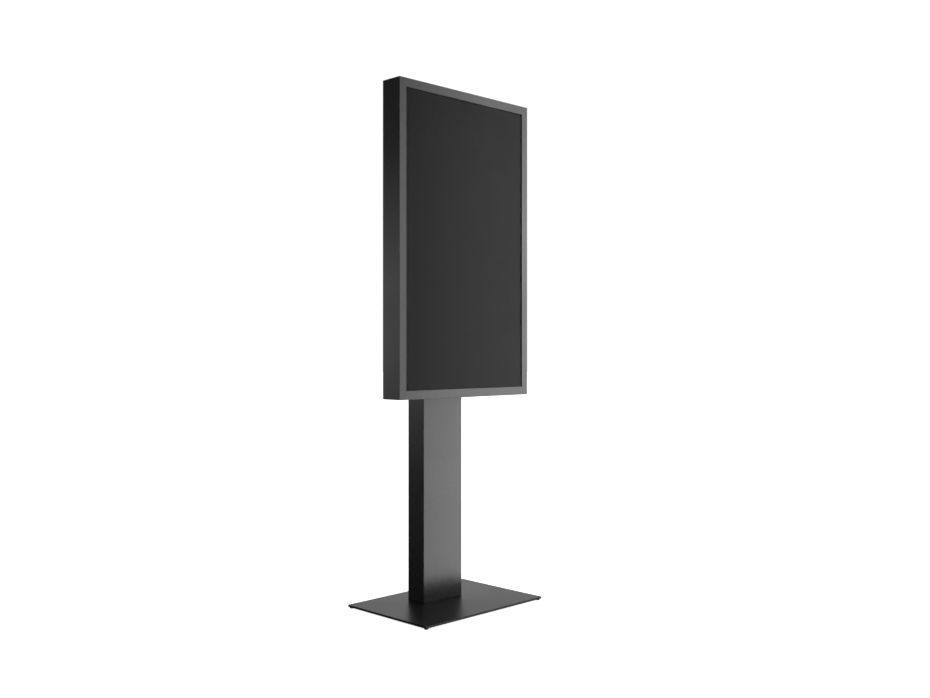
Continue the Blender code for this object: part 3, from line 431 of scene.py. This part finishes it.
def facing(direction):
    """Rotation that turns +Z to a direction."""
    return Vector(direction).to_track_quat("Z", "Y").to_matrix().to_4x4()


def flat_radius(radius, angle, sides):
    """Distance from the centre to a regular polygon's outline at an angle; radius is to its corners."""
    step = 2 * math.pi / sides
    return radius * math.cos(step / 2) / math.cos(angle % step - step / 2)


def turn_shape(bm, profile, place, segments=24):
    """Adds a closed turned shape. Profile entries are (radius, height) or (radius, height, sides)."""
    rings = []
    for radius, height, *sides in profile:
        if radius == 0:
            rings.append([bm.verts.new(place @ Vector((0, 0, height)))])
            continue
        ring = []
        for i in range(segments):
            angle = 2 * math.pi * i / segments
            reach = flat_radius(radius, angle, sides[0]) if sides else radius
            at = Vector((reach * math.cos(angle), reach * math.sin(angle), height))
            ring.append(bm.verts.new(place @ at))
        rings.append(ring)
    for first, second in zip(rings, rings[1:]):
        for i in range(segments):
            j = (i + 1) % segments
            near = [first[i % len(first)], first[j % len(first)]]
            far = [second[j % len(second)], second[i % len(second)]]
            bm.faces.new(list(dict.fromkeys(near + far)))


def button_head(radius):
    """Profile of a domed socket screw's head, seen above the surface."""
    height = radius * 0.62
    dome = [(radius * math.cos(t), height * (0.25 + 0.75 * math.sin(t))) for t in (0.0, 0.35, 0.7, 1.05)]
    socket = radius * 0.5
    return [(0, 0), (radius, 0), *dome, (socket, height, 6), (socket, height * 0.35, 6), (0, height * 0.3)]


def flange_nut(radius):
    """Profile of a flange nut on its stud."""
    flange = [(0, 0), (radius * 1.35, 0), (radius * 1.3, radius * 0.25), (radius * 1.02, radius * 0.4)]
    nut = [(radius, radius * 0.45, 6), (radius, radius * 1.1, 6), (radius * 0.9, radius * 1.2)]
    stud = [(radius * 0.55, radius * 1.2), (radius * 0.55, radius * 1.9), (radius * 0.45, radius * 2.0)]
    return [*flange, *nut, *stud, (0, radius * 2.0)]


def fasteners(name, profile, places, direction, material, body, segments=24):
    """A set of like fasteners as one piece, each standing on a surface point."""
    bm = bmesh.new()
    for place in places:
        turn_shape(bm, profile, Matrix.Translation(place) @ facing(direction), segments)
    return add_piece(name, bm, material, body)


def cable(name, points, radius, material, body=None):
    """A round cable through smooth points. Without a body it is left for the caller to place."""
    line = bpy.data.curves.new(name, "CURVE")
    line.dimensions = "3D"
    line.bevel_depth = radius
    line.bevel_resolution = 3
    line.resolution_u = 8
    line.use_fill_caps = True
    spline = line.splines.new("BEZIER")
    spline.bezier_points.add(len(points) - 1)
    for point, at in zip(spline.bezier_points, points):
        point.co = at
        point.handle_left_type = point.handle_right_type = "AUTO"
    shape = bpy.data.objects.new(name, line)
    bpy.context.scene.collection.objects.link(shape)
    bpy.context.view_layer.update()
    mesh = bpy.data.meshes.new_from_object(shape.evaluated_get(bpy.context.evaluated_depsgraph_get()))
    bpy.data.objects.remove(shape)
    mesh.name = name
    mesh.materials.clear()
    mesh.materials.append(material)
    mesh.shade_smooth()
    made = bpy.data.objects.new(name, mesh)
    bpy.context.scene.collection.objects.link(made)
    if body:
        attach(made, body)
    return made


# ---------------------------------------------------------------- detail pieces
def corners(node, inset):
    """(X, Z) of the four corners of a node's back, moved inwards."""
    low, high, mid = box_of(node)
    return [(x, z) for x in (low.x + inset, high.x - inset) for z in (low.z + inset, high.z - inset)]


def panel_screws(material):
    """Screws on the back of the head, for the rails, the fans and the electronics."""
    back = box_of("rear_panel")[1].y
    places = []
    for rail in ("display_rail_left", "display_rail_right"):
        low, high, mid = box_of(rail)
        levels = (low.z + 30 * MM, mid.z - 90 * MM, mid.z + 90 * MM, high.z - 30 * MM)
        places += [(x, back, z) for x in (low.x + 7 * MM, high.x - 7 * MM) for z in levels]
    fasteners("rail_screws", button_head(4.2 * MM), places, (0, 1, 0), material, "stand")
    insets = {
        "fan_frame_left": 5 * MM, "fan_frame_right": 5 * MM, "media_player": 9 * MM, "power_strip": 8 * MM,
        "touch_controller": 7 * MM,
    }
    places = [(x, back, z) for unit, inset in insets.items() for x, z in corners(unit, inset)]
    fasteners("unit_screws", button_head(3 * MM), places, (0, 1, 0), material, "stand")


def mounting_bolts(material):
    """Bolts that hold the bracket to the column and the hook rails to the head."""
    low, high, mid = box_of("column_bracket")
    face = high.y - 3 * MM
    rises = (-105 * MM, -35 * MM, 60 * MM, 120 * MM)
    places = [(x, face, mid.z + rise) for x in (-75 * MM, 75 * MM) for rise in rises]
    fasteners("bracket_bolts", button_head(6 * MM), places, (0, -1, 0), material, "stand")
    places = []
    for rail in ("hook_rail_left", "hook_rail_right"):
        low, high, mid = box_of(rail)
        face = low.y + 2.5 * MM
        levels = [low.z + 15 * MM + i * (high.z - low.z - 30 * MM) / 4 for i in range(5)]
        places += [(mid.x + side, face, z) for side in (-9 * MM, 9 * MM) for z in levels]
    fasteners("hook_rail_bolts", button_head(4 * MM), places, (0, 1, 0), material, "stand")


def hinge_and_keeper_screws(material):
    """Screws through the hinge leaves and the lock keepers."""
    for level in LEVELS:
        low, high, mid = box_of(f"hinge_leaf_fixed_{level}")
        face = box_of("rear_panel")[1].y + 2.3 * MM
        places = [(low.x + 12 * MM, face, mid.z + z) for z in (-28 * MM, 0, 28 * MM)]
        fasteners(f"hinge_screws_fixed_{level}", button_head(3 * MM), places, (0, 1, 0), material, "stand")
        low, high, mid = box_of(f"hinge_leaf_door_{level}")
        face = box_of("door_frame")[1].x - 4.3 * MM
        places = [(face, low.y + 10 * MM, mid.z + z) for z in (-28 * MM, 0, 28 * MM)]
        fasteners(f"hinge_screws_door_{level}", button_head(3 * MM), places, (-1, 0, 0), material, "door")
        low, high, mid = box_of(f"lock_keeper_{level}")
        places = [(low.x + 2 * MM, low.y + 12 * MM, mid.z + z) for z in (-11 * MM, 11 * MM)]
        fasteners(f"keeper_screws_{level}", button_head(2.6 * MM), places, (1, 0, 0), material, "door")


def clamp_nuts(material):
    """Flange nuts that hold the glass clamps to the frame."""
    low, high, mid = box_of("glass_clamp_right")
    seat, edge = low.y + 1.5 * MM, high.x - 6.5 * MM
    rises = [i * 240 * MM for i in (-2, -1, 0, 1, 2)]
    places = [(x, seat, mid.z + rise) for x in (-edge, edge) for rise in rises]
    rise = box_of("glass_clamp_top")[1].z - 6 * MM - mid.z
    places += [(x, seat, mid.z + z) for z in (-rise, rise) for x in (-250 * MM, 0, 250 * MM)]
    fasteners("clamp_nuts", flange_nut(2.6 * MM), places, (0, 1, 0), material, "door")


def connection_details(screw_material, metal, gold):
    """Screws, mains pins and network contacts at the foot of the column."""
    low, high, mid = box_of("io_panel")
    across, levels = (low.x + 9 * MM, high.x - 9 * MM), (low.z + 12 * MM, high.z - 10 * MM)
    places = [(x, high.y, z) for x in across for z in levels]
    fasteners("io_screws", button_head(3 * MM), places, (0, 1, 0), screw_material, "stand")
    low, high, mid = box_of("mains_inlet")
    centre = mid.x - 14 * MM
    bm = bmesh.new()
    for across, up in ((-6.5 * MM, -2 * MM), (0, 2.5 * MM), (6.5 * MM, -2 * MM)):
        tip = (centre + across, high.y - 9.5 * MM, mid.z + up)
        rounded_block(bm, tip, (2.3 * MM, 12 * MM, 4.3 * MM), 0.6 * MM)
    add_piece("inlet_pins", bm, metal, "stand")
    low, high, mid = box_of("network_socket")
    bm = bmesh.new()
    for i in range(8):
        at = (mid.x + (i - 3.5) * 1.02 * MM, high.y - 6 * MM, mid.z + 2.6 * MM)
        rounded_block(bm, at, (0.45 * MM, 9 * MM, 0.5 * MM), 0.12 * MM)
    add_piece("network_contacts", bm, gold, "stand")


def rounded_block(bm, centre, size, radius):
    """Adds a block with rounded edges to a mesh."""
    made = bmesh.ops.create_cube(bm, size=1.0)["verts"]
    bmesh.ops.scale(bm, vec=size, verts=made)
    bmesh.ops.translate(bm, vec=centre, verts=made)
    edges = list({e for v in made for e in v.link_edges})
    bmesh.ops.bevel(bm, geom=edges, offset=radius, segments=2, profile=0.5, affect="EDGES")


def dust_filters(material):
    """Foam pads behind the lower vents."""
    inner = box_of("rear_panel")[1].y - 2.3 * MM
    bottom = box_of("rear_panel")[0].z
    for side, x in (("left", -205 * MM), ("right", 205 * MM)):
        bm = bmesh.new()
        rounded_block(bm, (x, inner - 3 * MM, bottom + 95 * MM), (146 * MM, 6 * MM, 104 * MM), 1.5 * MM)
        add_piece(f"dust_filter_{side}", bm, material, "stand")


def leads(sheath, earth, screw_material):
    """Fan leads, plugs on the picture cable, and the earth wire across the hinge."""
    depth = box_of("fan_frame_left")[2].y
    strip = box_of("power_strip")
    for side, sign in (("left", -1), ("right", 1)):
        fan = box_of(f"fan_frame_{side}")[2]
        run = sign * 232 * MM
        points = [
            (fan.x + sign * 44 * MM, depth, fan.z - 20 * MM),
            (run, depth, fan.z - 60 * MM),
            (run, depth, strip[1].z + 100 * MM),
            (sign * 130 * MM, depth, strip[2].z + 10 * MM),
            (sign * 99 * MM, depth, strip[2].z),
        ]
        cable(f"fan_lead_{side}", points, 1.3 * MM, sheath, "stand")
    player = box_of("media_player")
    picture = box_of("picture_cable")
    bm = bmesh.new()
    plug_y = player[1].y - 14 * MM
    rounded_block(bm, (player[0].x - 11 * MM, plug_y, player[2].z), (21 * MM, 10 * MM, 18 * MM), 2.5 * MM)
    chassis_back = box_of("display_chassis")[1].y
    socket = (picture[2].x, chassis_back + 9 * MM, picture[1].z)
    rounded_block(bm, socket, (18 * MM, 17 * MM, 10 * MM), 2.5 * MM)
    add_piece("picture_plugs", bm, sheath, "stand")
    wall = box_of("door_frame")[1].x - 2 * MM
    panel = box_of("rear_panel")[1].y - 2 * MM
    height = 1.43
    start = Vector((wall - 42 * MM, panel - 5 * MM, height))
    end = Vector((wall - 4 * MM, panel - 62 * MM, height - 20 * MM))
    points = [
        start, start + Vector((-6 * MM, -16 * MM, -16 * MM)), start + Vector((2 * MM, -44 * MM, -40 * MM)),
        end + Vector((-14 * MM, 10 * MM, -16 * MM)), end,
    ]
    wire = cable("earth_wire", points, 1.6 * MM, earth)
    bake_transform(wire)
    nut = flange_nut(2.6 * MM)
    fasteners("earth_nut_panel", nut, [(start.x, panel, start.z)], (0, -1, 0), screw_material, "stand")
    fasteners("earth_nut_door", nut, [(wall, end.y, end.z)], (-1, 0, 0), screw_material, "door")


# ---------------------------------------------------------------- stage
def soft_box(
    tree, level, height, azimuth, half, strength, side_fade=10, low=-0.6, high=0.6, fade=0.1,
):
    """Light from one panel, for a ray with this level direction and height."""
    turn = math.radians(azimuth)
    towards = (math.cos(turn), math.sin(turn), 0)
    angle = maths(tree, "ARCCOSINE", dot(tree, level, towards))
    near, far = math.radians(half - side_fade), math.radians(half + side_fade)
    wide = span(tree, angle, near, far, 1.0, 0.0, True)
    bottom = span(tree, height, low - fade, low + fade, 0.0, 1.0, True)
    top = span(tree, height, high - fade, high + fade, 1.0, 0.0, True)
    glow = maths(tree, "MULTIPLY", wide, maths(tree, "MULTIPLY", bottom, top))
    return maths(tree, "MULTIPLY", glow, strength)


def studio():
    """Pale floor, soft boxes all round, and the camera."""
    scene = bpy.context.scene
    scene.view_settings.view_transform = "Standard"
    world = bpy.data.worlds.new("studio")
    scene.world = world
    world.use_nodes = True
    tree = world.node_tree
    tree.nodes.clear()
    direction = put(tree, "TexCoord").outputs["Generated"]
    parts = put(tree, "SeparateXYZ", Vector=direction)
    flat = put(tree, "CombineXYZ", X=parts.outputs["X"], Y=parts.outputs["Y"], Z=0.0).outputs[0]
    level = put(tree, "VectorMath", {"operation": "NORMALIZE"}, i0=flat).outputs[0]
    height = parts.outputs["Z"]
    total = FILL
    for box in SOFT_BOXES.values():
        total = maths(tree, "ADD", soft_box(tree, level, height, **box), total)
    lit = put(tree, "Background", Color=(1, 1, 1, 1), Strength=total).outputs[0]
    seen = put(tree, "Background", Color=(1, 1, 1, 1), Strength=1.0).outputs[0]
    camera_ray = put(tree, "LightPath").outputs["Is Camera Ray"]
    mixed = put(tree, "MixShader", i0=camera_ray, i1=lit, i2=seen).outputs[0]
    put(tree, "OutputWorld", Surface=mixed)
    floor()
    lens = bpy.data.cameras.new("camera")
    lens.lens = LENS
    lens.shift_y = RISE
    camera = bpy.data.objects.new("camera", lens)
    camera.location = EYE
    camera.rotation_euler = (math.radians(90), 0, math.radians(LOOK_AZIMUTH - 90))
    scene.collection.objects.link(camera)
    scene.camera = camera


def floor():
    """White studio floor. Only the camera sees it, so the soft boxes alone shape the reflections."""
    half = FLOOR_SIZE / 2
    rim = [(-half, -half, 0), (half, -half, 0), (half, half, 0), (-half, half, 0)]
    mesh = bpy.data.meshes.new("floor")
    mesh.from_pydata(rim, [], [(0, 1, 2, 3)])
    made = bpy.data.materials.new("floor_white")
    made.use_nodes = True
    tree = made.node_tree
    tree.nodes.clear()
    matte = put(tree, "BsdfDiffuse", Color=(0.9, 0.9, 0.9, 1)).outputs[0]
    glow = put(tree, "Emission", Color=(1, 1, 1, 1), Strength=0.85).outputs[0]
    shaded = put(tree, "AddShader", i0=matte, i1=glow).outputs[0]
    clear = put(tree, "BsdfTransparent").outputs[0]
    camera_ray = put(tree, "LightPath").outputs["Is Camera Ray"]
    mixed = put(tree, "MixShader", i0=camera_ray, i1=clear, i2=shaded).outputs[0]
    put(tree, "OutputMaterial", Surface=mixed)
    mesh.materials.append(made)
    ground = bpy.data.objects.new("floor", mesh)
    bpy.context.scene.collection.objects.link(ground)


# ---------------------------------------------------------------- the kiosk
for old in list(bpy.data.objects):
    bpy.data.objects.remove(old)
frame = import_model()

coat = powder_coat("black_powder_coat")
plastic = moulded_plastic("black_plastic")
rubber = soft_rubber("black_rubber")
sheath = cable_sheath("black_sheath")
zinc = zinc_plate("zinc_plate")
steel = drawn_steel("drawn_steel")
bright = die_cast("die_cast_zinc")
black = black_screw("black_oxide")
alloy = anodised("anodised_aluminium")

paint(coat, "column_shell", "column_cover", "io_panel", "rear_panel", "door_frame")
paint(coat, "column_bracket", "hook_rail_left", "hook_rail_right")
paint(powder_coat("base_powder_coat", 0.003, 0.37, BASE_GLOSS), "base_plate")
paint(plastic, "column_cap", "mains_inlet", "network_socket")
paint(plastic, "power_strip", "touch_controller", "player_button")
paint(plastic, "fan_frame_left", "fan_frame_right", "fan_rotor_left", "fan_rotor_right")
paint(moulded_plastic("rocker_plastic", 0.012, 0.22, 4000.0), "power_rocker")
paint(rubber, "glass_gasket", *(f"foot_pad_{foot}" for foot in FEET))
paint(sheath, "mains_cable", "picture_cable")
paint(zinc, "display_chassis", "display_rail_left", "display_rail_right")
paint(zinc, *(f"glass_clamp_{side}" for side in ("left", "right", "top", "bottom")))
paint(steel, "column_foot", *(f"foot_stud_{foot}" for foot in FEET))
paint(steel, *(f"column_bolt_{i}" for i in (1, 2, 3, 4)))
for level in LEVELS:
    paint(steel, f"hinge_leaf_fixed_{level}", f"hinge_leaf_door_{level}", f"hinge_pin_{level}")
    paint(steel, f"lock_keeper_{level}")
    paint(bright, f"lock_barrel_{level}", f"lock_cam_{level}", f"cover_latch_{level}")
paint(alloy, "media_player")
paint(touch_glass("etched_glass"), "touch_glass")
lcd_mid = box_of("lcd_panel")[2]
paint(screen_face("screen_face", 302 * MM, lcd_mid.z - 536.9 * MM, lcd_mid.z + 536.9 * MM), "lcd_panel")

ROUNDING = {
    "base_plate": 0.5 * MM, "column_shell": 0.8 * MM, "door_frame": 0.8 * MM, "rear_panel": 0.5 * MM,
    "column_cap": 0.8 * MM, "media_player": 0.6 * MM, "power_strip": 1.2 * MM,
    "touch_controller": 0.8 * MM, "power_rocker": 0.6 * MM, "lcd_panel": 0.2 * MM,
}
for name in frame["nodes"]:
    if "cable" not in name:
        round_edges(name, ROUNDING.get(name, 0.3 * MM))

panel_screws(black)
mounting_bolts(black)
hinge_and_keeper_screws(black)
clamp_nuts(zinc)
connection_details(black, bright, gold_plate("contact_gold"))
dust_filters(filter_foam("filter_foam"))
leads(sheath, wire_green("earth_sheath"), zinc)
studio()
